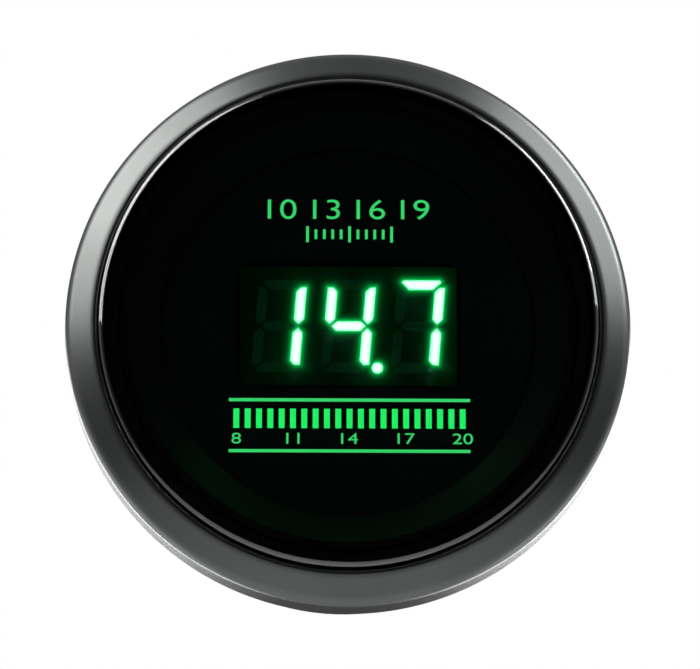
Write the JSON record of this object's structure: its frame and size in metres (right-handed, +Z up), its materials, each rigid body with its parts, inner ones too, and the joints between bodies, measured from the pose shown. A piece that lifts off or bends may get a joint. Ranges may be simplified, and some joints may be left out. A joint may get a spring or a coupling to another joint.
{
  "type": "air fuel ratio gauge",
  "caption": "Round panel gauge with a lit numeric display behind a smoked lens, a screw-on bezel, and a strap bracket on studs that clamps it in a panel hole.",
  "frame": {"origin": "centre of the gauge where the flange seats on the front of the panel", "axes": "+Y into the panel, away from the viewer; the face looks along -Y; +Z is up on the dial; +X is to the viewer's right"},
  "size_m": [0.06, 0.0597, 0.06],
  "materials": {
    "cup_plastic": "matte moulded black",
    "bezel_coat": "satin charcoal",
    "lens_smoke": "polished smoked clear",
    "seal_rubber": "matte",
    "dial_black": "dead matte black",
    "sheet_tint": "tinted satin",
    "diffuser_white": "milky",
    "display_black": "matte",
    "segment_lit": "lit green",
    "segment_dark": "unlit",
    "tinned_wire": "tinned",
    "board_green": "solder mask",
    "led_resin": "clear resin in white housing",
    "chip_black": "matte epoxy",
    "spacer_nylon": "natural nylon",
    "screw_steel": "zinc plated",
    "pin_gold": "gold flash",
    "can_aluminium": "satin",
    "coil_ferrite": "ferrite",
    "connector_plastic": "moulded",
    "stud_steel": "zinc plated",
    "strap_steel": "zinc plated",
    "nut_nickel": "nickel plated"
  },
  "bodies": {
    "housing": {"cup": "cup_plastic", "lens_gasket": "seal_rubber", "dial_ring": "dial_black", "dial_sheet": "sheet_tint", "light_mask": "dial_black", "upper_diffuser": "diffuser_white", "lower_diffuser": "diffuser_white", "display_body": "display_black", "lit_segments": "segment_lit", "unlit_segments": "segment_dark", "display_pins": "tinned_wire", "display_board": "board_green", "legend_leds": "led_resin", "led_resistors": "chip_black", "board_spacers": "spacer_nylon", "board_screws": "screw_steel", "link_header": "chip_black", "link_pins": "pin_gold", "main_board": "board_green", "controller_chip": "chip_black", "controller_leads": "tinned_wire", "clock_crystal": "screw_steel", "voltage_regulator": "chip_black", "power_capacitors": "can_aluminium", "filter_coil": "coil_ferrite", "chip_resistors": "chip_black", "connector_shroud": "connector_plastic", "connector_pins": "pin_gold", "rear_cover": "cup_plastic", "cover_gasket": "seal_rubber", "cover_screws": "screw_steel", "mounting_studs": "stud_steel"},
    "window": {"lens": "lens_smoke"},
    "bezel_ring": {"bezel": "bezel_coat"},
    "clamp": {"clamp_bracket": "strap_steel", "lock_washers": "stud_steel"},
    "left_nut": {"nut_left": "nut_nickel"},
    "right_nut": {"nut_right": "nut_nickel"}
  },
  "joints": [
    {"name": "bezel_lift", "type": "slide", "parent": "housing", "child": "window", "axis": [0, -1, 0], "range_m": [0, 0.0035]},
    {"name": "bezel_turn", "type": "hinge", "parent": "window", "child": "bezel_ring", "pos_m": [0, 0, 0], "axis": [0, -1, 0], "range_deg": [0, 1260]},
    {"name": "clamp_slide", "type": "slide", "parent": "housing", "child": "clamp", "axis": [0, 1, 0], "range_m": [-0.0021, 0.0084]},
    {"name": "left_nut_turn", "type": "hinge", "parent": "clamp", "child": "left_nut", "pos_m": [-0.018, 0, 0], "axis": [0, 1, 0], "range_deg": [-1080, 4320]},
    {"name": "right_nut_turn", "type": "hinge", "parent": "clamp", "child": "right_nut", "pos_m": [0.018, 0, 0], "axis": [0, 1, 0], "range_deg": [-1080, 4320]}
  ],
  "couplings": [
    {"joint": "bezel_lift", "follows": "bezel_turn", "m_per_rad": 0.00015915},
    {"joint": "left_nut_turn", "follows": "clamp_slide", "rad_per_m": 8976},
    {"joint": "right_nut_turn", "follows": "clamp_slide", "rad_per_m": 8976}
  ]
}
